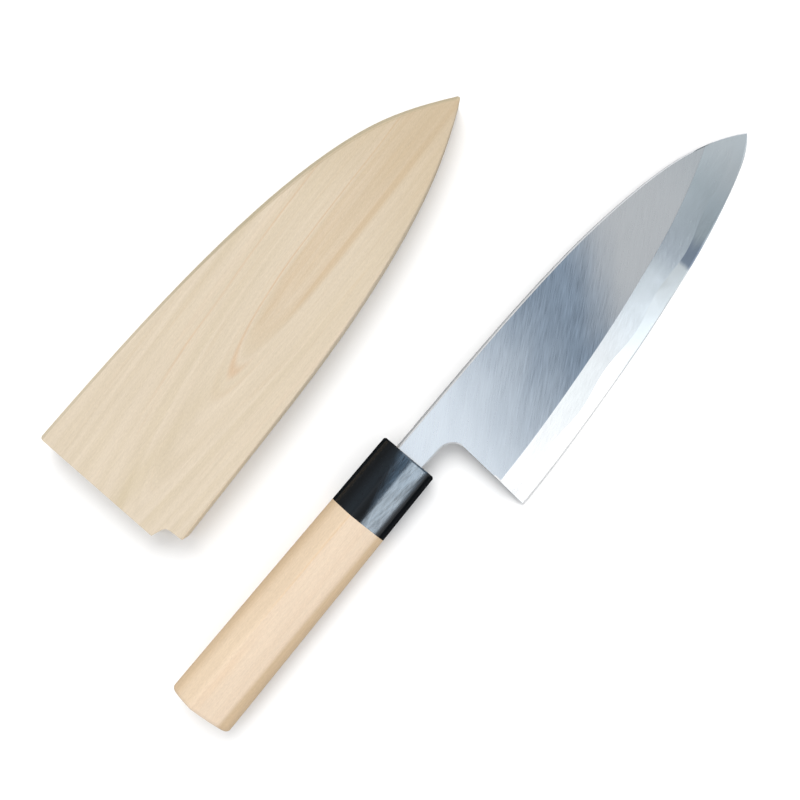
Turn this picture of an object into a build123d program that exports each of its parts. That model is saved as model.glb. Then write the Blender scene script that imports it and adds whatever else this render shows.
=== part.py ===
"""A deba, the heavy single-bevel Japanese fish knife, lying beside its wooden saya.

The knife is modelled in its own frame. The ferrule's front face is at x = 0 and
the tip points along +X. The spine faces +Y. The flat back of the blade is z = 0
and the bevelled right side faces +Z. The knife is then laid on the table as a
real one lies: on the lower side of the ferrule, the heel and the tip.
Sizes are in millimetres.
"""

import math
import os

from build123d import *

os.makedirs("parts", exist_ok=True)

# Blade outline, from the heel corner to the tip and from the spine to the heel
blade_length = 181.0
blade_height = 56.9
heel_from_ferrule = 15.6
spine_above_axis = 6.65
spine_run_shares = (0, 0.245, 0.416, 0.582, 0.697, 0.803, 0.885, 0.957)
spine_fall_shares = (0, 0.008, 0.026, 0.067, 0.12, 0.191, 0.279, 0.4)
edge_run_shares = (0, 0.144, 0.313, 0.481, 0.651, 0.763, 0.868, 0.962)
edge_fall_shares = (1, 0.988, 0.954, 0.907, 0.837, 0.777, 0.695, 0.588)
tip_fall_share = 0.502

# Blade section: distal taper, bevel, hollow back and the welded edge steel
spine_thick = 8.0
distal_taper = 5.6
face_slope = 0.6
bevel_width = 16.0
bevel_heel_share = 0.95
bevel_tip_share = 1.2
bevel_stations = 11
edge_land = 0.3
fine_bevel = 0.5
fine_bevel_rise = 0.45
back_rim = 4.0
grinding_wheel_radius = 300.0
hollow_run_in = 12.0
hollow_stations = 7
weld_band = 6.3
weld_wave = 0.9
weld_wave_length = 40.0
weld_wave_start = 66.5
weld_stations = 33
weld_slope = 1.1
steel_start = 11.0
spine_ease = 0.5
spine_stations = 11

# Neck and tang
neck_height = 13.3
neck_splay = 0.9
neck_ease = 0.7
neck_stations = 41
ease_reach = 2.0
choil_radius = 7.5
heel_lean = 2.6
heel_ease = 0.6
tang_length = 96.0
tang_height = 10.5
tang_thick = 5.6
tang_end_height = 4.6
tang_end_thick = 3.0
tang_axis_height = 4.0

# Handle: a D section with one ridge, thicker and deeper towards the butt
handle_length = 136.0
ferrule_length = 33.5
front_height = 26.7
butt_height = 29.8
front_under = 10.2
butt_under = 11.0
front_over = 10.5
butt_over = 11.2
butt_drop = 0.8
ridge_share = 0.33
spine_round_slope = 50.0
spine_ridge_slope = 28.0
edge_round_slope = 30.0
edge_ridge_slope = 9.0
front_ease = 0.7
butt_ease = 1.8
butt_stations = 5
tenon_radius = 8.0
glue_gap = 0.1
burn_gap = 0.2

# Saya: two boards glued face to face round the carved pocket
blade_play = 1.2
face_play = 1.0
saya_face_wall = 5.5
saya_spine_wall = 6.4
saya_edge_wall = 6.3
saya_tip_wall = 22.2
saya_spine_run_shares = (0, 0.347, 0.493, 0.643, 0.791, 0.867, 0.941)
saya_spine_fall_shares = (0, 0.003, 0.026, 0.074, 0.167, 0.248, 0.369)
saya_edge_run_shares = (0.301, 0.532, 0.647, 0.801, 0.878, 0.954)
saya_edge_fall_shares = (0.943, 0.881, 0.829, 0.726, 0.652, 0.556)
saya_tip_fall_share = 0.488
notch_depth = 7.0
notch_height = 11.0
notch_slant = 2.2
notch_lean = 0.7
notch_radius = 3.0
mouth_lean = 0.6
spine_corner_radius = 1.2
saya_tip_radius = 1.1
spine_chamfer = 2.0
edge_chamfer = 0.4
under_chamfer = 0.6
plane_stations = 11

# Where the saya lies beside the knife
saya_forward = -91.0
saya_aside = 121.6
saya_turn = -1.8

# Densities in kilograms per litre, for the knife's balance
steel_density = 7.85
horn_density = 1.3
wood_density = 0.5

# One overrun for every cut that runs out of its piece
overrun = 6.0

heel_x = heel_from_ferrule
tip_x = heel_from_ferrule + blade_length
saya_length = tip_x + blade_play + saya_tip_wall
saya_height = saya_spine_wall + 2 * blade_play + blade_height + saya_edge_wall
board_thick = (spine_thick + face_play) / 2 + saya_face_wall


def blade_point(run_share, fall_share):
    """A point of the blade's outline, from its shares of the length and height."""
    return heel_x + run_share * blade_length, spine_above_axis - fall_share * blade_height


def spine_curve(start_x, play=0):
    """The spine from start_x to the tip, moved outward by the play of the pocket."""
    points = [(start_x, spine_above_axis + play)]
    for run, fall in zip(spine_run_shares[1:], spine_fall_shares[1:]):
        x, y = blade_point(run, fall)
        points.append((x, y + play))
    tip = blade_point(1, tip_fall_share)
    points.append((tip[0] + play, tip[1]))
    return Spline(points)


def edge_curve(play=0):
    """The cutting edge from the heel corner to the tip, moved outward by the play."""
    points = []
    for run, fall in zip(edge_run_shares, edge_fall_shares):
        x, y = blade_point(run, fall)
        points.append((x, y - play))
    tip = blade_point(1, tip_fall_share)
    points.append((tip[0] + play, tip[1]))
    return Spline(points)


def face_height(x, y):
    """Height of the flat right side of the blade above its back, at one place."""
    along = distal_taper * (x - heel_x) / blade_length
    down = face_slope * (spine_above_axis - y) / blade_height
    return spine_thick - along - down


def y_on(curve, x):
    """The y of a curve that runs towards +X, found by halving."""
    low = 0.0
    high = 1.0
    for _ in range(40):
        middle = (low + high) / 2
        if (curve @ middle).X < x:
            low = middle
        else:
            high = middle
    return (curve @ low).Y


def edge_stations(count):
    """Places along the edge with the direction across the bevel, and its width.

    The first and last lie just past the heel and the tip, so that a cut made
    through all of them runs out of the steel.
    """
    edge = edge_curve()
    stations = []
    for i in range(count):
        t = i / (count - 1)
        point = edge @ t
        along = edge % t
        if i == 0:
            point = point - along * overrun
        if i == count - 1:
            point = point + along * overrun
        across = Vector(-along.Y, along.X, 0)
        share = bevel_heel_share + (bevel_tip_share - bevel_heel_share) * t * t
        stations.append((point, across, bevel_width * share))
    return stations


def ruled_block(lines, depth):
    """A solid that stands on straight lines laid side by side, depth high or deep."""
    sections = []
    for start, end in lines:
        rise = Vector(0, 0, depth)
        sections.append(make_face(Polyline(start, end, end + rise, start + rise, close=True)))
    return loft(sections)


def bevel_slope(shinogi, width):
    """How steeply the bevel climbs from the edge to the shinogi."""
    return (face_height(shinogi.X, shinogi.Y) - edge_land) / width


def bevel_lines():
    """Straight lines across the bevel, from past the edge to past the shinogi."""
    lines = []
    for point, across, width in edge_stations(bevel_stations):
        slope = bevel_slope(point + across * width, width)
        start = point - across * overrun + Vector(0, 0, edge_land - overrun * slope)
        end = point + across * (width + overrun)
        end = end + Vector(0, 0, edge_land + (width + overrun) * slope)
        lines.append((start, end))
    return lines


def fine_bevel_lines():
    """The same across the fine bevel that strengthens the edge."""
    lines = []
    steep = fine_bevel_rise / fine_bevel
    for point, across, width in edge_stations(bevel_stations):
        top = edge_land + fine_bevel * bevel_slope(point + across * width, width)
        start = point - across * overrun + Vector(0, 0, top - (overrun + fine_bevel) * steep)
        end = point + across * overrun + Vector(0, 0, top + (overrun - fine_bevel) * steep)
        lines.append((start, end))
    return lines


def weld_lines():
    """The weld between iron and edge steel, which shows as a wavy line on the bevel."""
    lines = []
    fall = weld_slope / blade_height
    reach = blade_height + overrun
    for point, across, width in edge_stations(weld_stations):
        turn = 2 * math.pi * (point.X - heel_x - weld_wave_start) / weld_wave_length
        band = weld_band + weld_wave * math.cos(turn)
        height = edge_land + band * bevel_slope(point + across * width, width)
        start = point - across * overrun + Vector(0, 0, height + (band + overrun) * fall)
        end = point + across * reach + Vector(0, 0, height - (reach - band) * fall)
        lines.append((start, end))
    return lines


def eased_edge(curve, width, top_at, inward, stations, lead, reach):
    """What comes off along a top edge when it is planed or stoned at an angle.

    The curve is the edge seen from above, top_at gives the height of the face
    there, and inward is 1 or -1 for the side of the curve that the piece is on.
    """
    lines = []
    for i in range(stations):
        t = i / (stations - 1)
        point = curve @ t
        along = curve % t
        if i == 0:
            point = point - along * lead
        if i == stations - 1:
            point = point + along * overrun
        across = Vector(-along.Y, along.X, 0) * inward
        top = top_at(point.X, point.Y)
        start = point - across * reach + Vector(0, 0, top - width - reach)
        end = point + across * (width + reach) + Vector(0, 0, top + reach)
        lines.append((start, end))
    return ruled_block(lines, 2 * reach)


def neck_curve():
    """The underside of the neck, the round choil and the line down to the heel."""
    neck_foot = spine_above_axis - neck_height
    return FilletPolyline(
        (0, neck_foot),
        (heel_x + heel_lean, neck_foot - neck_splay),
        blade_point(0, 1),
        radius=choil_radius,
    )


def blade_plate():
    """The forged outline of blade and neck, as thick as the spine, before grinding."""
    neck = neck_curve()
    front = Polyline(neck @ 0, (0, spine_above_axis))
    outline = make_face([spine_curve(0), edge_curve(), neck, front])
    plate = extrude(outline, spine_thick + overrun)
    heel = plate.edges().filter_by(Axis.Z).sort_by_distance(blade_point(0, 1))[0]
    return fillet(heel, heel_ease)


def right_face(play=0):
    """The plane of the flat right side, which tapers towards the tip and the edge."""
    lean = Vector(distal_taper / blade_length, -face_slope / blade_height, 1)
    corner = Vector(heel_x, spine_above_axis, spine_thick + play)
    return Plane(origin=corner, z_dir=lean)


def hollow_back():
    """The hollow of the back, ground on a large wheel inside a flat rim."""
    spine = spine_curve(0)
    edge = edge_curve()
    start = heel_x + heel_lean + back_rim
    end = tip_x - bevel_width
    sections = []
    for i in range(hollow_stations):
        share = i / (hollow_stations - 1)
        x = start + (end - start) * share
        low = y_on(edge, x) + back_rim
        high = y_on(spine, x) - back_rim
        run_in = min(1, (x - start + edge_land) / hollow_run_in)
        depth = run_in * (high - low) ** 2 / (8 * grinding_wheel_radius)
        arc = ThreePointArc((x, low, 0), (x, (low + high) / 2, depth), (x, high, 0))
        floor = Polyline((x, high, 0), (x, high, -overrun), (x, low, -overrun), (x, low, 0))
        sections.append(make_face([arc, floor]))
    return loft(sections)


def blade_solids():
    """The ground blade, parted at the weld into soft iron and hard edge steel."""
    blade = split(blade_plate(), bisect_by=right_face(), keep=Keep.BOTTOM)
    blade = blade - ruled_block(bevel_lines(), spine_thick + overrun)
    blade = blade - ruled_block(fine_bevel_lines(), spine_thick + overrun)
    blade = blade - hollow_back()
    spine = spine_curve(0)
    blade = blade - eased_edge(
        spine, spine_ease, face_height, -1, spine_stations, overrun, ease_reach
    )
    blade = blade - eased_edge(
        neck_curve(), neck_ease, face_height, 1, neck_stations, overrun, ease_reach
    )
    steel_side = ruled_block(weld_lines(), -spine_thick - overrun)
    behind = Pos(steel_start, 0, 0) * Box(
        heel_x + overrun,
        blade_height * 3,
        spine_thick * 4,
        align=(Align.MAX, Align.CENTER, Align.CENTER),
    )
    steel = (blade & steel_side) - behind
    iron = blade - (steel_side - behind)
    return iron, steel


def tang(gap=0):
    """The tang, which narrows into the handle, or with a gap the hole burnt for it."""
    root = Plane.YZ.offset(0) * Pos(0, tang_axis_height) * Rectangle(
        tang_height + 2 * gap, tang_thick + 2 * gap
    )
    end = Plane.YZ.offset(-tang_length - gap) * Pos(0, tang_axis_height) * Rectangle(
        tang_end_height + 2 * gap, tang_end_thick + 2 * gap
    )
    return loft([root, end], ruled=True)


def facet(side, width, rise, round_slope, ridge_slope, turn):
    """One side of the handle's upper half: a tight arc, then a flat one to the ridge.

    It starts upright at the side, and the slopes are those where the arcs meet and
    at the ridge. The turn is 1 or -1, anticlockwise or clockwise.
    """
    steep = math.radians(round_slope)
    last = math.radians(ridge_slope)
    tight_width = 1 - math.sin(steep)
    flat_width = math.sin(steep) - math.sin(last)
    tight_rise = math.cos(steep)
    flat_rise = math.cos(last) - math.cos(steep)
    cross = flat_width * tight_rise - tight_width * flat_rise
    flat = (tight_rise * width - tight_width * rise) / cross
    tight = (flat_width * rise - flat_rise * width) / cross
    corner = JernArc(side, (0, 1), tight, turn * (90 - round_slope))
    slab = JernArc(corner @ 1, corner % 1, flat, turn * (round_slope - ridge_slope))
    return corner + slab


def handle_section(x, ease=0):
    """The D section of the handle at one place: half an ellipse below, a ridge above."""
    share = min(1, -x / handle_length)
    half = (front_height + (butt_height - front_height) * share) / 2 - ease
    under = front_under + (butt_under - front_under) * share - ease
    over = front_over + (butt_over - front_over) * share - ease
    middle = -butt_drop * share
    axis = tang_axis_height
    spine_side = 2 * half * ridge_share
    belly = EllipticalCenterArc((middle, axis), half, under, start_angle=180, arc_size=180)
    spine_facet = facet(
        (middle + half, axis), spine_side, over, spine_round_slope, spine_ridge_slope, 1
    )
    edge_facet = facet(
        (middle - half, axis), 2 * half - spine_side, over, edge_round_slope, edge_ridge_slope, -1
    )
    return Plane.YZ.offset(x) * make_face([belly, spine_facet, edge_facet])


def handle_solids():
    """The horn ferrule and the magnolia handle with its tenon and the tang's hole.

    Both are shaped in one on the real knife, so they meet in the same section.
    """
    joint = handle_section(-ferrule_length)
    nose_end = handle_section(-front_ease)
    nose = loft([handle_section(0, front_ease), nose_end], ruled=True)
    ferrule = nose + loft([nose_end, joint], ruled=True)
    round_start = butt_ease - handle_length
    rounding = []
    for i in range(butt_stations):
        turn = math.radians(90) * i / (butt_stations - 1)
        ease = butt_ease * (1 - math.cos(turn))
        rounding.append(handle_section(round_start - butt_ease * math.sin(turn), ease))
    wood = loft([joint, rounding[0]], ruled=True) + loft(rounding)
    at_axis = Pos(0, 0, tang_axis_height)
    along = Rot(0, 90, 0)
    tenon = at_axis * along * Cylinder(
        tenon_radius, ferrule_length, align=(Align.CENTER, Align.CENTER, Align.MAX)
    )
    bore = at_axis * along * Cylinder(
        tenon_radius + glue_gap, 2 * ferrule_length + overrun, align=Align.CENTER
    )
    return ferrule - bore, wood + tenon - tang(burn_gap)


def saya_point(run_share, fall_share):
    """A point of the saya's outline, from its shares of the length and height."""
    return run_share * saya_length, -fall_share * saya_height


def saya_spine():
    """The saya's spine side, from the mouth to the tip."""
    points = [saya_point(*pair) for pair in zip(saya_spine_run_shares, saya_spine_fall_shares)]
    points.append(saya_point(1, saya_tip_fall_share))
    return Spline(points)


def saya_edge():
    """The saya's edge side, from where it starts to curve to the tip."""
    points = [saya_point(*pair) for pair in zip(saya_edge_run_shares, saya_edge_fall_shares)]
    points.append(saya_point(1, saya_tip_fall_share))
    return Spline(points)


def saya_block():
    """The shaped block before it is parted and carved, with its planed edges."""
    spine = saya_spine()
    edge = saya_edge()
    edge_rise = saya_height - saya_height * saya_edge_fall_shares[0]
    edge_run = saya_length * saya_edge_run_shares[0]
    foot_x = notch_depth + notch_lean
    foot_y = -saya_height + edge_rise * foot_x / edge_run
    inner_y = -saya_height + notch_height - notch_slant
    mouth = Polyline(
        spine @ 0,
        (mouth_lean, -saya_height + notch_height),
        (notch_depth, inner_y),
        (foot_x, foot_y),
        edge @ 0,
    )
    block = extrude(make_face([spine, edge, mouth]), 2 * board_thick)
    upright = block.edges().filter_by(Axis.Z)
    block = fillet(upright.sort_by_distance((0, 0, board_thick))[0], spine_corner_radius)
    upright = block.edges().filter_by(Axis.Z)
    block = fillet(upright.sort_by_distance((notch_depth, inner_y, board_thick))[0], notch_radius)
    upright = block.edges().filter_by(Axis.Z)
    point = (saya_length, -saya_tip_fall_share * saya_height, board_thick)
    block = fillet(upright.sort_by_distance(point)[0], saya_tip_radius)
    middle = Plane.XY.offset(board_thick)
    for curve, side, over, under in (
        (spine, -1, spine_chamfer, under_chamfer),
        (edge, 1, edge_chamfer, under_chamfer),
    ):
        block = block - planed_edge(curve, over, side)
        block = block - mirror(planed_edge(curve, under, side), middle)
    return block


def planed_edge(curve, width, inward):
    """What the plane takes off along one long edge of the saya's right face."""

    def top_at(x, y):
        return 2 * board_thick

    return eased_edge(curve, width, top_at, inward, plane_stations, saya_height, overrun)


def pocket():
    """The carved space: the blade's outline and taper, with play on every side."""
    spine = spine_curve(-overrun, blade_play)
    edge = edge_curve(blade_play)
    foot = edge @ 0
    start = spine @ 0
    back = Polyline(foot, (start.X, foot.Y), start)
    space = extrude(make_face([spine, edge, back]), spine_thick + overrun)
    space = split(space, bisect_by=right_face(face_play), keep=Keep.BOTTOM)
    return Pos(0, -spine_above_axis - blade_play - saya_spine_wall, saya_face_wall) * space


def saya_solids():
    """The two boards, each carved for its share of the blade."""
    carved = saya_block() - pocket()
    lower = Box(
        saya_length * 3,
        saya_height * 3,
        board_thick,
        align=(Align.CENTER, Align.CENTER, Align.MIN),
    )
    back_board = carved & lower
    front_board = carved - lower
    return front_board, back_board


def balance_point(knife):
    """The knife's centre of gravity, from its pieces and their densities."""
    moment = Vector(0, 0, 0)
    mass = 0
    for solid, density in knife:
        weight = solid.volume * density
        moment = moment + solid.center(CenterOf.MASS) * weight
        mass = mass + weight
    return moment / mass


def resting_plane(balance):
    """The table's plane in the knife's frame.

    The knife lies on the lower side of the ferrule and on the curve of its edge.
    It rocks on both until its balance point is over the line between them. The
    ferrule's lower side is half an ellipse, so its lowest point moves too, and a
    few passes settle everything.
    """
    edge = edge_curve()
    half = front_height / 2
    up = Vector(0, 0, 1)
    for _ in range(12):
        reach = math.hypot(half * up.Y, front_under * up.Z)
        down_y = half * half * up.Y / reach
        down_z = front_under * front_under * up.Z / reach
        touch = Vector(-front_ease, -down_y, tang_axis_height - down_z)
        low = 0.0
        high = 1.0
        for _ in range(30):
            middle = (low + high) / 2
            if (edge @ middle - touch).cross(balance - touch).dot(up) > 0:
                low = middle
            else:
                high = middle
        up = (edge % low).cross(touch - edge @ low).normalized()
        if up.Z < 0:
            up = up * -1
    level = Vector(1, 0, 0) - up * up.X
    return Plane(origin=touch, x_dir=level, z_dir=up)


def laid_out():
    """Every node in its place: the knife on the table and the saya beside it."""
    iron, steel = blade_solids()
    iron = iron + tang()
    ferrule, wood = handle_solids()
    balance = balance_point(
        [
            (iron, steel_density),
            (steel, steel_density),
            (ferrule, horn_density),
            (wood, wood_density),
        ]
    )
    table = resting_plane(balance)
    face = table.to_local_coords(Vector(0, 0, tang_axis_height))
    knife = {
        "blade_iron": iron,
        "edge_steel": steel,
        "horn_ferrule": ferrule,
        "magnolia_handle": wood,
    }
    nodes = {}
    for name, solid in knife.items():
        nodes[name] = Pos(-face.X, -face.Y, 0) * table.to_local_coords(solid)
    front_board, back_board = saya_solids()
    beside = Pos(saya_forward, saya_aside, 0) * Rot(0, 0, saya_turn)
    nodes["saya_front_board"] = beside * front_board
    nodes["saya_back_board"] = beside * back_board
    return nodes


nodes = laid_out()
boxes = [solid.bounding_box() for solid in nodes.values()]
middle_x = (min(box.min.X for box in boxes) + max(box.max.X for box in boxes)) / 2
middle_y = (min(box.min.Y for box in boxes) + max(box.max.Y for box in boxes)) / 2
for name, solid in nodes.items():
    export_step(Pos(-middle_x, -middle_y, 0) * solid, f"parts/{name}.step")
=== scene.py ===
import math

import bpy
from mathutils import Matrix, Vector

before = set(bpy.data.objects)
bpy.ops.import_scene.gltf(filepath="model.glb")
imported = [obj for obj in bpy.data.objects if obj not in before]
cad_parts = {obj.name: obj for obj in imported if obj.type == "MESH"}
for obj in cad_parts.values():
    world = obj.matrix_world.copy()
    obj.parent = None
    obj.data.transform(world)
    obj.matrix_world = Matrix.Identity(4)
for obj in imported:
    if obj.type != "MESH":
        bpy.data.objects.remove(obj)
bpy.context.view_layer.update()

# The camera. It hangs 0.62 m above the table and looks straight down, turned so
# that the knife runs from the lower left to the upper right of the picture.
camera_over = (-0.01441, -0.0176)
camera_height = 0.6156
camera_turn = math.radians(-50)
view_width = 0.3385
sensor_millimetres = 36

lens = bpy.data.cameras.new("lens")
lens.sensor_width = sensor_millimetres
lens.lens = sensor_millimetres * camera_height / view_width
lens.clip_start = 0.01
camera = bpy.data.objects.new("camera", lens)
camera.location = (*camera_over, camera_height)
camera.rotation_euler = (0, 0, camera_turn)
bpy.context.scene.collection.objects.link(camera)
bpy.context.scene.camera = camera
bpy.context.scene.view_settings.view_transform = "Standard"

# The table is covered with plain white paper, a smooth matt sheet that lies flat
# under knife and saya and runs on past everything the camera can see.
paper_reach = 30.0
paper_drop = 0.0001
paper_white = (0.9, 0.9, 0.9, 1)
paper_roughness = 0.85
paper_fibre = 0.002


class Channel:
    """One output among a tree's nodes. Arithmetic on it adds Math nodes."""

    def __init__(self, tree, socket):
        self.tree = tree
        self.socket = socket

    def node(self, kind, settings, sockets, output=0):
        """Add any other node: its settings first, then its sockets' values or links."""
        made = self.tree.nodes.new(kind)
        for name, value in settings.items():
            if name == "stops":
                ramp = made.color_ramp.elements
                while len(ramp) < len(value):
                    ramp.new(0)
                for element, (position, colour) in zip(ramp, value):
                    element.position = position
                    element.color = (*colour, 1)
            else:
                setattr(made, name, value)
        for name, value in sockets.items():
            socket = made.inputs[name]
            if isinstance(value, Channel):
                self.tree.links.new(value.socket, socket)
            elif socket.type == "RGBA":
                socket.default_value = (*value, 1)
            else:
                socket.default_value = value
        return Channel(self.tree, made.outputs[output])

    def math(self, operation, other=0.0):
        """A Math node with this value first."""
        settings = {"operation": operation}
        return self.node("ShaderNodeMath", settings, {0: self, 1: other})

    def reflected(self, operation, other):
        """A Math node with this value second."""
        settings = {"operation": operation}
        return self.node("ShaderNodeMath", settings, {0: other, 1: self})

    def __neg__(self):
        return self.reflected("SUBTRACT", 0)

    def __add__(self, other):
        return self.math("ADD", other)

    __radd__ = __add__

    def __sub__(self, other):
        return self.math("SUBTRACT", other)

    def __rsub__(self, other):
        return self.reflected("SUBTRACT", other)

    def __mul__(self, other):
        return self.math("MULTIPLY", other)

    __rmul__ = __mul__

    def __truediv__(self, other):
        return self.math("DIVIDE", other)

    def __rtruediv__(self, other):
        return self.reflected("DIVIDE", other)

    def __pow__(self, other):
        return self.math("POWER", other)

    def __rpow__(self, other):
        return self.reflected("POWER", other)

    def at_least(self, low):
        """This value, or the low one where it is below that."""
        return self.math("MAXIMUM", low)

    def at_most(self, high):
        """This value, or the high one where it is above that."""
        return self.math("MINIMUM", high)

    def step(self, start, end):
        """A smooth rise from 0 at start to 1 at end."""
        settings = {"interpolation_type": "SMOOTHSTEP"}
        sockets = {"Value": self, "From Min": start, "From Max": end}
        return self.node("ShaderNodeMapRange", settings, sockets)

    def near(self, centre, reach):
        """1 at the centre, falling smoothly to 0 at the reach on each side."""
        return 1 - (self - centre).math("ABSOLUTE").step(0, reach)

    def part(self, axis):
        """One coordinate of a vector."""
        return self.node("ShaderNodeSeparateXYZ", {}, {"Vector": self}, axis)

    def vector(self, y, z):
        """A vector of three coordinates, this one first."""
        return self.node("ShaderNodeCombineXYZ", {}, {"X": self, "Y": y, "Z": z})

    def across(self, operation, other, output=0):
        """Vector Math with this vector first."""
        settings = {"operation": operation}
        return self.node("ShaderNodeVectorMath", settings, {0: self, 1: other}, output)

    def turned(self, centre, angle, sizes):
        """Coordinates from a centre, turned about Z and counted in the given sizes."""
        from_centre = self.across("SUBTRACT", centre)
        sockets = {"Vector": from_centre, "Rotation": (0, 0, -angle)}
        spun = self.node("ShaderNodeMapping", {"vector_type": "POINT"}, sockets)
        return spun.across("DIVIDE", sizes)

    def noise(self, detail=2.0, roughness=0.5, distortion=0.0):
        """Smooth noise about 0, between -0.5 and 0.5, with one cell to a unit."""
        sockets = {
            "Vector": self,
            "Scale": 1.0,
            "Detail": detail,
            "Roughness": roughness,
            "Distortion": distortion,
        }
        return self.node("ShaderNodeTexNoise", {}, sockets) - 0.5

    def streaks(self, centre, angle, length, width, *grain):
        """Noise drawn out at an angle, in cells of a length and width in metres."""
        return self.turned(centre, angle, (length, width, width)).noise(*grain)

    def mix(self, first, second):
        """Two colours mixed by this share of the second."""
        settings = {"data_type": "RGBA"}
        return self.node("ShaderNodeMix", settings, {0: self, 6: first, 7: second}, 2)

    def shaded(self, amount):
        """This colour made lighter or darker by a factor."""
        settings = {"operation": "SCALE"}
        return self.node("ShaderNodeVectorMath", settings, {0: self, "Scale": amount})

    def into(self, shader, name):
        """Link this to a socket of a shader."""
        self.tree.links.new(self.socket, shader.inputs[name])

    def relief(self, shader, depth, strength):
        """Use this as the height of the surface, depth metres from 0 to 1."""
        sockets = {"Height": self, "Distance": depth, "Strength": strength}
        self.node("ShaderNodeBump", {}, sockets).into(shader, "Normal")


def material(name, constants):
    """A new material, the place of each point on it in metres, and its shader."""
    made = bpy.data.materials.new(name)
    made.use_nodes = True
    tree = made.node_tree
    tree.nodes.clear()
    shader = tree.nodes.new("ShaderNodeBsdfPrincipled")
    output = tree.nodes.new("ShaderNodeOutputMaterial")
    tree.links.new(shader.outputs["BSDF"], output.inputs["Surface"])
    for socket, value in constants.items():
        shader.inputs[socket].default_value = value
    where = tree.nodes.new("ShaderNodeTexCoord")
    return made, Channel(tree, where.outputs["Object"]), shader


paper, place, shader = material("white_paper", {"Base Color": paper_white})
fibre = place.streaks((0, 0, 0), 0, paper_fibre, paper_fibre)
(paper_roughness + fibre * 0.1).into(shader, "Roughness")

sheet = bpy.data.meshes.new("table")
quarters = ((-1, -1), (1, -1), (1, 1), (-1, 1))
corners = [(x * paper_reach, y * paper_reach, 0) for x, y in quarters]
sheet.from_pydata(corners, [], [(0, 1, 2, 3)])
sheet.materials.append(paper)
table = bpy.data.objects.new("table", sheet)
table.location.z = -paper_drop
table.visible_glossy = False
bpy.context.scene.collection.objects.link(table)

# The light. A white room lights everything evenly and a wide soft lamp beyond the
# spines throws the shadows. Metal and horn mirror a white ceiling, dim walls and a
# large window on the edge side, which has a stronger pane for the horn alone.
room_tint = (0.98, 0.988, 1.0)
room_glow = 0.97
horizon_glow = 0.3
ceiling_glow = 1.0
wall_glow = 0.34
wall_foot_dimming = 0.8
floor_glow = 0.03
spine_wall_rise = (0.1, 0.5)
edge_wall_rise = (0.42, 0.6)
wall_foot_rise = (0.93, 0.97)
floor_rise = (0.0, 0.7)
horizon_fall = (0.0, 0.3)

room = bpy.data.worlds.new("room")
room.use_nodes = True
tree = room.node_tree
tree.nodes.clear()
way = Channel(tree, tree.nodes.new("ShaderNodeTexCoord").outputs["Generated"])
mirrored = Channel(tree, tree.nodes.new("ShaderNodeLightPath").outputs["Is Glossy Ray"])
up = way.part("Z")
beyond = way.part("Y")
walls = beyond.step(*spine_wall_rise) + (-beyond).step(*edge_wall_rise)
walls = walls.at_most(1.0)
wall_foot = (-beyond).step(*wall_foot_rise)
overhead = walls * wall_glow * (1 - wall_foot_dimming * wall_foot)
overhead = overhead + (1 - walls) * ceiling_glow
floor = (-up).step(*floor_rise)
reflection = overhead * (1 - floor) + floor * floor_glow
even_light = room_glow + horizon_glow * (1 - up.step(*horizon_fall))
glow = mirrored * reflection + (1 - mirrored) * even_light
backdrop = glow.node("ShaderNodeBackground", {}, {"Color": room_tint, "Strength": glow})
output = tree.nodes.new("ShaderNodeOutputWorld")
tree.links.new(backdrop.socket, output.inputs["Surface"])
bpy.context.scene.world = room


def hang(name, light, position, target):
    """Hang a lamp at its position and aim it at the target."""
    body = bpy.data.objects.new(name, light)
    body.location = position
    aim = Vector(target) - Vector(position)
    body.rotation_euler = aim.to_track_quat("-Z", "Y").to_euler()
    body.visible_camera = False
    bpy.context.scene.collection.objects.link(body)
    return body


key_light = bpy.data.lights.new("key", "SUN")
key_light.energy = 1.65
key_light.angle = math.radians(34)
key_light.color = (1.0, 0.995, 0.985)
key = hang("key", key_light, (0.70, 0.72, 1.65), (0, 0, 0))
key.visible_glossy = False

pane_width = 1.5
pane_target = (-0.047, -0.036, 0.02)
horn_pieces = bpy.data.collections.new("polished_horn")
horn_pieces.objects.link(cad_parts["horn_ferrule"])
panes = (
    ("window", 1.15, 0.60, (-0.05, -1.15, 0.69), (0.96, 0.985, 1.0), None),
    ("horn_window", 5.7, 0.50, (-0.05, -1.08, 0.735), (0.76, 0.89, 1.0), horn_pieces),
)
for name, strength, pane_height, position, tint, lit_pieces in panes:
    pane = bpy.data.lights.new(name, "AREA")
    pane.shape = "RECTANGLE"
    pane.size = pane_width
    pane.size_y = pane_height
    pane.energy = strength * math.pi * pane.size * pane.size_y
    pane.color = tint
    window = hang(name, pane, position, pane_target)
    window.visible_diffuse = False
    window.light_linking.receiver_collection = lit_pieces

# The body of the blade. It is forged from soft iron, ground flat on the right side
# and brushed slantwise to a satin. Its tones are painted reflection: bright at the
# neck, dark blue in the middle and grey towards the tip. The bevel below it comes off
# the stone finer, and its tones along its length are painted reflection too.
millimetre = (0.001, 0.001, 0.001)
ferrule_face = (-0.03016, -0.03595, 0)
flat_point = (-0.014479, -0.029698, 0.014529)
flat_normal = (0.048887, -0.102446, 0.993537)
back_point = (-0.014623, -0.028962, 0.006564)
back_normal = (0.017997, -0.092, 0.995596)

# Places along and across the knife are millimetres from the ferrule's face.
spine_curve = (-7.063, 36.563, -74.455, 70.643, -34.400, 7.369, 6.336)
spine_start = 12.0
heel_start = 18.0
heel_top = -15.3
heel_lean = 0.065
wall_line = (0.3, 0.4)
heel_line = (-0.15, 0.0)
spine_ease = 0.85
spine_ease_fall = (171, 177)
flat_edge = (0.01, 0.06)
hollow_rim = (0.85, 1.1)
bevel_bow = 0.0011
bevel_bow_start = 20
bevel_top = -34.5
bevel_top_edge = (2.0, 3.0)

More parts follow.
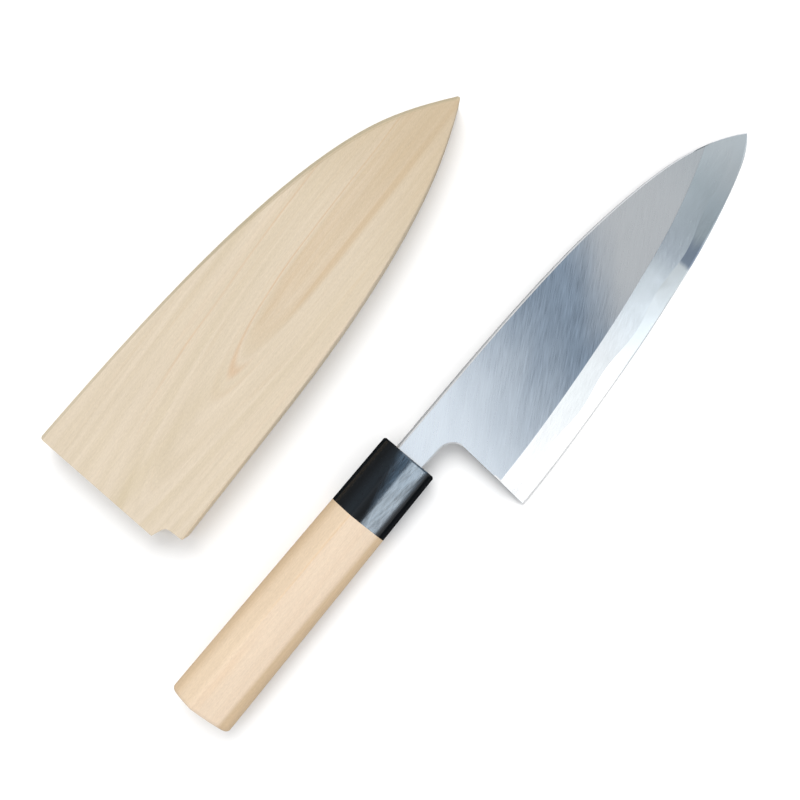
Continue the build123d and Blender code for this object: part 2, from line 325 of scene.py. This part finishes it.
brush_angle = math.radians(30)
stone_angle = math.radians(6)
brushing_depth = 0.00002
brushed_roughness = 0.29
band_middle = -10
neck_lean = 0.3
tip_lean = 0.55
middle_reflection_rise = (8, 88)
front_reflection_rise = (92, 127)
tip_reflection_rise = (148, 178)
brushing_rise = (25, 85)
brushing_fall = (100, 122)

# Painted reflection: the flat face's tones from the neck to the tip.
painted_neck_reflection = (0.75, 0.82, 0.89)
painted_middle_reflection = (0.225, 0.285, 0.36)
painted_front_reflection = (0.475, 0.497, 0.515)
painted_tip_reflection = (0.435, 0.468, 0.49)
hollow_grey = (0.60, 0.63, 0.66)
# Painted light: a pale grey on spine and heel walls for their bright reflection.
painted_wall_light = (0.68, 0.70, 0.72)
wall_dullness = 0.65
bevel_end = 200
# Painted reflection along the bevel, in millimetres from the ferrule's face.
painted_bevel_reflection = (
    (20, (0.92, 0.92, 0.92)),
    (45, (0.735, 0.745, 0.755)),
    (65, (0.675, 0.70, 0.71)),
    (85, (0.645, 0.67, 0.69)),
    (105, (0.68, 0.735, 0.78)),
    (125, (0.78, 0.86, 0.92)),
    (136, (0.62, 0.70, 0.78)),
    (150, (0.55, 0.63, 0.69)),
    (166, (0.45, 0.52, 0.56)),
    (184, (0.49, 0.54, 0.57)),
)


def curve(along, powers):
    """How far across a piece a line lies, as a polynomial of decimetres along it."""
    run = along / 100
    total = run * 0
    for power in powers:
        total = total * run + power
    return total


def above(place, point, normal):
    """How many millimetres a place lies above a plane."""
    return place.across("SUBTRACT", point).across("DOT_PRODUCT", normal, 1) * 1000


def narrow_walls(along, aside, ease):
    """1 on the walls of spine and heel, 0 on the faces. The ease widens the spine's."""
    spine_gap = curve(along.at_least(spine_start), spine_curve) - aside
    spine = 1 - (spine_gap - ease).step(*wall_line)
    heel_gap = along - heel_lean * (aside - heel_top) - heel_start
    heel = 1 - heel_gap.step(*heel_line)
    return (spine + heel).at_most(1.0)


iron, place, shader = material("soft_iron", {})
spot = place.turned(ferrule_face, 0, millimetre)
along = spot.part("X")
aside = spot.part("Y")
cloud = place.streaks(ferrule_face, brush_angle, 0.03, 0.012, 1.0)
patch = place.streaks(ferrule_face, brush_angle, 0.028, 0.0028, 2.0)
fine = place.streaks(ferrule_face, brush_angle - 0.05, 0.010, 0.0006, 2.0, 0.55)
hair = place.streaks(ferrule_face, brush_angle + 0.06, 0.009, 0.00035, 2.0, 0.55)

neck_side = along - neck_lean * (aside - band_middle) + cloud * 18
tip_side = along - tip_lean * (aside - band_middle) + cloud * 14
# Painted reflection: bright at the neck, dark blue in the middle, grey at the tip.
flat = neck_side.step(*middle_reflection_rise).mix(painted_neck_reflection, painted_middle_reflection)
flat = tip_side.step(*front_reflection_rise).mix(flat, painted_front_reflection)
flat = along.step(*tip_reflection_rise).mix(flat, painted_tip_reflection)
brushed = neck_side.step(*brushing_rise) * (1 - tip_side.step(*brushing_fall))
brushed = 0.2 + 0.85 * brushed
flat = flat.shaded(1 + brushed * (patch * 0.26 + fine * 0.7 + hair * 0.75))

# Painted reflection: the bevel's tones along its length.
stops = [(distance / bevel_end, tone) for distance, tone in painted_bevel_reflection]
reached = along / bevel_end
bevel = reached.node("ShaderNodeValToRGB", {"stops": stops}, {"Fac": reached})
mottle = place.streaks(ferrule_face, stone_angle, 0.016, 0.003, 3.0, 0.6)
stoned = place.streaks(ferrule_face, stone_angle, 0.012, 0.0003, 2.0, 0.5)
bevel = bevel.shaded(1 + mottle * 0.14 + stoned * 0.10)

off_flat = (-above(place, flat_point, flat_normal)).step(*flat_edge)
bowed = along - bevel_bow_start
over_bevel = aside - bevel_top - bevel_bow * bowed * bowed
over_bevel = over_bevel.step(*bevel_top_edge)
hollow = 1 - above(place, back_point, back_normal).step(*hollow_rim)
ease = spine_ease * (1 - along.step(*spine_ease_fall))
walls = off_flat * narrow_walls(along, aside, ease)
tones = (off_flat * (1 - over_bevel)).mix(flat, bevel)
tones = (hollow * (1 - walls)).mix(tones, hollow_grey)
# Painted light: pale, less metallic walls stand in for the steel's bright reflection.
tones = walls.mix(tones, painted_wall_light)
tones.into(shader, "Base Color")
(1 - wall_dullness * walls).into(shader, "Metallic")
roughness = brushed_roughness + fine * 0.12 + hair * 0.08
roughness = roughness - 0.05 * off_flat + 0.15 * walls
roughness.into(shader, "Roughness")
((fine + hair) * (1 - off_flat)).relief(shader, brushing_depth, 0.3)


def dress(node, made):
    """Give a CAD node its material."""
    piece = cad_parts[node]
    piece.data.materials.clear()
    piece.data.materials.append(made)


dress("blade_iron", iron)

# The edge is a strip of hard steel forge welded under the iron. It shows below the
# wavy weld line on the bevel, where the stones leave it smoother than the iron. Its
# tones along the length, white at the heel and a dark block near the point, are
# painted reflection.
edge_curve = (13.444, -90.019, 243.325, -337.899, 255.316, -97.505, 20.009, -51.302)
painted_heel_reflection = (0.97, 0.97, 0.97)
painted_silver_reflection = (0.74, 0.80, 0.84)
painted_front_silver_reflection = (0.80, 0.87, 0.91)
painted_dark_block_reflection = (0.30, 0.37, 0.47)
painted_grey_block_reflection = (0.47, 0.55, 0.60)
painted_point_reflection = (0.48, 0.53, 0.56)
silver_reflection_rise = (72, 100)
front_silver_reflection_rise = (115, 131)
block_middle = -35
block_lean = 0.1
block_rise = (135.2, 138.2)
grey_block_reflection_rise = (143, 152)
point_reflection_rise = (160, 182)
land_line = (0.45, 0.6)
stoning_depth = 0.00001
stoned_roughness = 0.22

steel, place, shader = material("edge_steel", {})
spot = place.turned(ferrule_face, 0, millimetre)
along = spot.part("X")
aside = spot.part("Y")
drift = place.streaks(ferrule_face, stone_angle, 0.02, 0.004, 1.0)
stoned = place.streaks(ferrule_face, stone_angle, 0.014, 0.00025, 2.0, 0.5)
# Painted reflection: white at the heel, silver further on, a dark block near the point.
light = along.step(*silver_reflection_rise).mix(painted_heel_reflection, painted_silver_reflection)
light = along.step(*front_silver_reflection_rise).mix(light, painted_front_silver_reflection)
dark = (along + drift * 8).step(*grey_block_reflection_rise).mix(painted_dark_block_reflection, painted_grey_block_reflection)
dark = along.step(*point_reflection_rise).mix(dark, painted_point_reflection)
block = along - block_lean * (aside - block_middle) + drift * 2
tones = block.step(*block_rise).mix(light, dark)
tones = tones.shaded(1 + stoned * 0.1 + drift * 0.08)
land = 1 - (aside - curve(along, edge_curve)).step(*land_line)
walls = narrow_walls(along, aside, 0)
# Painted light: pale, less metallic walls stand in for the steel's bright reflection.
walls.mix(tones, painted_wall_light).into(shader, "Base Color")
(1 - wall_dullness * (land + walls).at_most(1.0)).into(shader, "Metallic")
(stoned_roughness + stoned * 0.08).into(shader, "Roughness")
stoned.relief(shader, stoning_depth, 0.3)
dress("edge_steel", steel)

# The ferrule is a ring of black water buffalo horn, glued on the handle's tenon and
# shaped and polished in one with the wood. Smoky streaks run through the horn. The
# smoky blue band where the window is mirrored is partly smoky horn and partly painted
# reflection, and the faint grey on the upper facet is a painted sheen.
horn_polish = {"IOR": 1.56, "Specular IOR Level": 0.25, "Coat Roughness": 0.1}
horn_black = (0.002, 0.003, 0.004)
smoke_and_reflection_blue = (0.04, 0.07, 0.105)
painted_sheen_grey = (0.014, 0.020, 0.026)
thread_grey = (0.006, 0.007, 0.010)
smoke_angle = math.radians(-8)
wisp_angle = math.radians(22)
thread_angle = math.radians(10)
ferrule_middle = -18
band_height = 1.6
band_widening = 0.22
band_foot = (-10.6, -8.7)
band_head = (-3.6, 1.6)
smoke_and_reflection_rise = (-20, -4)
sheen_middle = 5.0
thread_width = 0.03
polish_depth = 0.00002
polished_roughness = 0.12

horn, place, shader = material("horn", horn_polish)
spot = place.turned(ferrule_face, 0, millimetre)
along = spot.part("X")
aside = spot.part("Y")
smoke = place.streaks(ferrule_face, smoke_angle, 0.022, 0.0022, 4.0, 0.6, 0.8)
wisp = place.streaks(ferrule_face, wisp_angle, 0.010, 0.0012, 3.0, 0.6, 0.6)
thread = place.streaks(ferrule_face, thread_angle, 0.012, 0.0009, 2.0, 0.5, 1.2)
# The band's smoky blue is partly horn and partly painted reflection of the window.
band_top = band_height + band_widening * (along - ferrule_middle) + wisp * 4
band = aside.step(*band_foot) * (1 - (aside - band_top).step(*band_head))
smoke_and_reflection = (smoke * 1.4 + 0.5).at_least(0.0) * band
smoke_and_reflection = smoke_and_reflection * (1 + 0.9 * along.step(*smoke_and_reflection_rise))
tones = smoke_and_reflection.mix(horn_black, smoke_and_reflection_blue)
# Painted sheen: a faint grey on the upper facet.
tones = (aside.near(sheen_middle, 5.0) * (1 - band) * 0.6).mix(tones, painted_sheen_grey)
tones = (thread.near(0.0, thread_width) * 0.8).mix(tones, thread_grey)
tones.into(shader, "Base Color")
(polished_roughness + smoke * 0.08).into(shader, "Roughness")
coat = 0.05 + band * (0.74 + smoke * 2.2 + wisp * 1.3)
coat.at_least(0.0).at_most(1.0).into(shader, "Coat Weight")
(smoke + thread).relief(shader, polish_depth, 0.2)
dress("horn_ferrule", horn)

# The handle is magnolia, a pale, even wood that stays dry in wet hands. The D
# section with its single ridge is planed and sanded, and left bare. Its upper facet
# and both rounded edges are painted darker as shade.
dry_wood = {"Specular IOR Level": 0.2}
ring_width = 2.7
pith_aside = -22
pith_below = -30
ring_tan = (0.64, 0.50, 0.37)
ring_cream = (0.69, 0.57, 0.44)
# Painted shade for the upper facet.
painted_facet_shade = (0.56, 0.44, 0.31)
ridge_rust = (0.60, 0.40, 0.22)
butt_honey = (0.62, 0.44, 0.28)
# Painted shade for both rounded edges.
painted_upper_edge_shade = (0.47, 0.345, 0.215)
painted_lower_edge_shade = (0.47, 0.335, 0.195)
upper_facet_rise = (2.4, 6.0)
upper_edge_rise = (8.5, 13)
lower_edge_rise = (9.3, 11.8)
ridge_at = 3.9
ridge_width = 0.7
ridge_rise = (-110, -60)
streak_at = 1.5
streak_width = 3.5
streak_fall = (-122, -80)
grain_depth = 0.00006
handle_dullness = 0.62


def bare_wood(shader, tones, fibres, pores, dullness):
    """Give a shader the tones, the dullness and the open grain of bare wood."""
    tones.into(shader, "Base Color")
    (dullness + fibres * 0.15).into(shader, "Roughness")
    (fibres + pores * 0.6).relief(shader, grain_depth, 0.5)


wood, place, shader = material("handle_wood", dry_wood)
spot = place.turned(ferrule_face, 0, millimetre)
along = spot.part("X")
aside = spot.part("Y")
high = spot.part("Z")
warp = place.streaks(ferrule_face, 0, 0.09, 0.012, 1.0)
from_pith = (aside - pith_aside + warp * 3).vector(high - pith_below, 0.0)
rings = from_pith.across("LENGTH", (0, 0, 0), 1)
ring = (rings / ring_width).vector(0.0, along / 400).noise(2.0, 0.55)
fibres = place.streaks(ferrule_face, 0, 0.025, 0.00055, 3.0, 0.6)
pores = place.streaks(ferrule_face, 0, 0.0018, 0.0004, 1.0, 0.5)
blotch = place.streaks(ferrule_face, 0, 0.03, 0.008, 2.0)
fuzz = place.streaks(ferrule_face, 0.5, 0.0011, 0.0005, 2.0, 0.6)
tones = (0.5 + ring * 1.6).at_least(0.0).mix(ring_tan, ring_cream)
# Painted shade: the upper facet darker, where it turns away from the light.
tones = (aside.step(*upper_facet_rise) * 0.75).mix(tones, painted_facet_shade)
ridge = aside.near(ridge_at, ridge_width) * along.step(*ridge_rise)
tones = (ridge * 0.35).mix(tones, ridge_rust)
streak = aside.near(streak_at, streak_width) * (1 - along.step(*streak_fall))
streak = streak * (0.6 + blotch * 1.5)
tones = (streak * 0.4).mix(tones, butt_honey)
# Painted shade: both rounded edges darker, where they turn away from the light.
tones = (aside.step(*upper_edge_rise) * 0.75).mix(tones, painted_upper_edge_shade)
tones = ((-aside).step(*lower_edge_rise) * 0.75).mix(tones, painted_lower_edge_shade)
tones = tones.shaded(1 + blotch * 0.08 + fibres * 0.18 + pores * 0.18 + fuzz * 0.16)
bare_wood(shader, tones, fibres, pores, handle_dullness)
dress("magnolia_handle", wood)

# The saya is two boards of flat-sawn magnolia, carved for the blade and glued face
# to face with rice paste. The growth rings run out in a long tongue. On the planed
# edges, the spine side's wall and chamfer are painted darker as shade, and the edge
# side's wall carries painted light.
saya_corner = (-0.12116, 0.08565, 0)
saya_turn = math.radians(-1.8)
saya_spine = (2.251, -17.676, 52.695, -77.867, 58.332, -24.220, 5.433, -0.243)
saya_edge = (-1.465, 12.460, -41.489, 69.695, -58.905, 24.461, 1.674, -71.725)
curve_start = 2.0
saya_boards = (("saya_front_board", 0.0, 20.0), ("saya_back_board", 9.0, 10.0))
tongue_x = 77.0
tongue_y = -40.0
tongue_turn = math.radians(4.0)
tongue_end = 12
tongue_depth_fall = (0, 70)
slant_rise = (-9, 3)
slant_fall = (5, 32)
saya_ring_width = 3.1
late_ring_width = 5.3
heart_fall = (6.5, 9.2)
inner_line_ring = 9.1
olive_ring = 18.5
outer_line_ring = 23.5
chamfer_growth = 1.1
chamfer_growth_rise = (70, 150)
chamfer_line = (1.2, 1.45)
chamfer_shade_rise = (50, 100)
spine_wall_shade_rise = (30, 150)
edge_wall_light_fall = (20, 140)
planed_line = (1.2, 1.6)
planed_start = (0.02, 0.2)
mouth_line = (0.05, 0.2)
point_tan_rise = (130, 215)
saya_dullness = 0.66
fibre_turn = saya_turn + 0.05
fuzz_turn = saya_turn + 0.6

board_tan = (0.51, 0.43, 0.315)
board_cream = (0.59, 0.505, 0.40)
olive_tan = (0.50, 0.42, 0.295)
heart_brown = (0.50, 0.39, 0.265)
late_brown = (0.50, 0.38, 0.25)
ring_rust = (0.50, 0.33, 0.20)
point_tan = (0.44, 0.345, 0.225)
# Painted shade on the spine's chamfer and wall, painted light on the edge's wall.
painted_chamfer_shade = (0.37, 0.305, 0.20)
painted_spine_wall_shade = (0.34, 0.295, 0.205)
painted_edge_wall_light = (0.80, 0.67, 0.49)
mouth_brown = (0.42, 0.33, 0.22)

for board, pattern_shift, board_top in saya_boards:
    wood, place, shader = material(board + "_wood", dry_wood)
    spot = place.turned(saya_corner, saya_turn, millimetre)
    along = spot.part("X")
    aside = spot.part("Y")
    down = board_top - spot.part("Z")
    warp = place.streaks(saya_corner, saya_turn, 0.06, 0.010, 1.0)
    grain = spot.turned((tongue_x, tongue_y - pattern_shift, 0), tongue_turn, (1, 1, 1))
    run = grain.part("X")
    off = grain.part("Y") + warp * 2.0
    pith_depth = 6.9 - 5.4 * run.step(*tongue_depth_fall) + 0.4 * down
    slant = 0.45 + 0.35 * off.step(*slant_rise) - 0.65 * off.step(*slant_fall)
    closing = 1 + math.e ** (-(run - tongue_end) / 12)
    rings = (off * off + pith_depth * pith_depth).math("SQRT")
    rings = rings + 1.9 * slant * closing.math("LOGARITHM", math.e)
    ring = (rings / saya_ring_width).vector(0.0, run / 300).noise(3.0, 0.6)
    fibres = place.streaks(saya_corner, fibre_turn, 0.025, 0.0006, 3.0, 0.6)
    pores = place.streaks(saya_corner, fibre_turn, 0.002, 0.0003, 1.0, 0.5)
    blotch = place.streaks(saya_corner, saya_turn, 0.04, 0.012, 2.0)
    fuzz = place.streaks(saya_corner, fuzz_turn, 0.0011, 0.0005, 2.0, 0.6)
    tones = (0.5 + ring * 2.1).at_least(0.0).mix(board_tan, board_cream)

    olive = off.near(2.5, 6.0) * (1 - run.step(-20, 4))
    olive = olive + rings.near(olive_ring, 1.6) * 0.6
    tones = (olive * (0.45 + blotch)).mix(tones, olive_tan)
    heart = 1 - rings.step(*heart_fall)
    vein = (off / 2.0).vector(0.0, run / 80).noise(2.0)
    brown = 0.58 + 0.5 * blotch + 1.1 * vein
    brown = brown + 0.5 * off.near(-6.5, 2.6) * run.step(15, 40)
    tones = (heart * brown).mix(tones, heart_brown)
    late = (rings / late_ring_width).vector(3.0, run / 400).noise(2.0, 0.5)
    tones = (late.near(0.0, 0.02) * (0.16 + blotch * 0.5)).mix(tones, late_brown)
    inner_line = rings.near(inner_line_ring, 0.5) * (0.85 + blotch) * off.step(-5, -1)
    outer_line = rings.near(outer_line_ring, 0.6) * (0.5 + blotch)
    outer_line = outer_line * run.step(-50, -10) * off.step(-5, 5)
    tones = ((inner_line + outer_line) * 0.6).mix(tones, ring_rust)
    tones = (along.step(*point_tan_rise) * 0.62).mix(tones, point_tan)

    span = along.at_least(curve_start)
    planed = down.step(*planed_start)
    spine_gap = curve(span, saya_spine) - aside
    # Painted shade: a dark band along the spine's chamfer, wider towards the tip.
    growth = chamfer_growth * span.step(*chamfer_growth_rise)
    chamfer = 1 - (spine_gap - growth).step(*chamfer_line)
    chamfer_shade = chamfer * span.step(*chamfer_shade_rise)
    tones = (chamfer_shade * 0.5).mix(tones, painted_chamfer_shade)
    # Painted shade on the spine side's walls.
    spine_side = planed * (1 - spine_gap.step(*planed_line))
    spine_wall_shade = spine_side * (0.45 + 0.3 * span.step(*spine_wall_shade_rise))
    tones = spine_wall_shade.mix(tones, painted_spine_wall_shade)
    # Painted light on the edge side's walls.
    edge_gap = aside - curve(span, saya_edge)
    edge_side = planed * (1 - edge_gap.step(*planed_line))
    edge_wall_light = edge_side * (0.6 - 0.5 * span.step(*edge_wall_light_fall))
    tones = edge_wall_light.mix(tones, painted_edge_wall_light)
    mouth = 1 - along.step(*mouth_line)
    tones = (mouth * 0.35).mix(tones, mouth_brown)
    tones = tones.shaded(1 + blotch * 0.07 + fibres * 0.14 + pores * 0.16 + fuzz * 0.2)
    bare_wood(shader, tones, fibres, pores, saya_dullness)
    dress(board, wood)
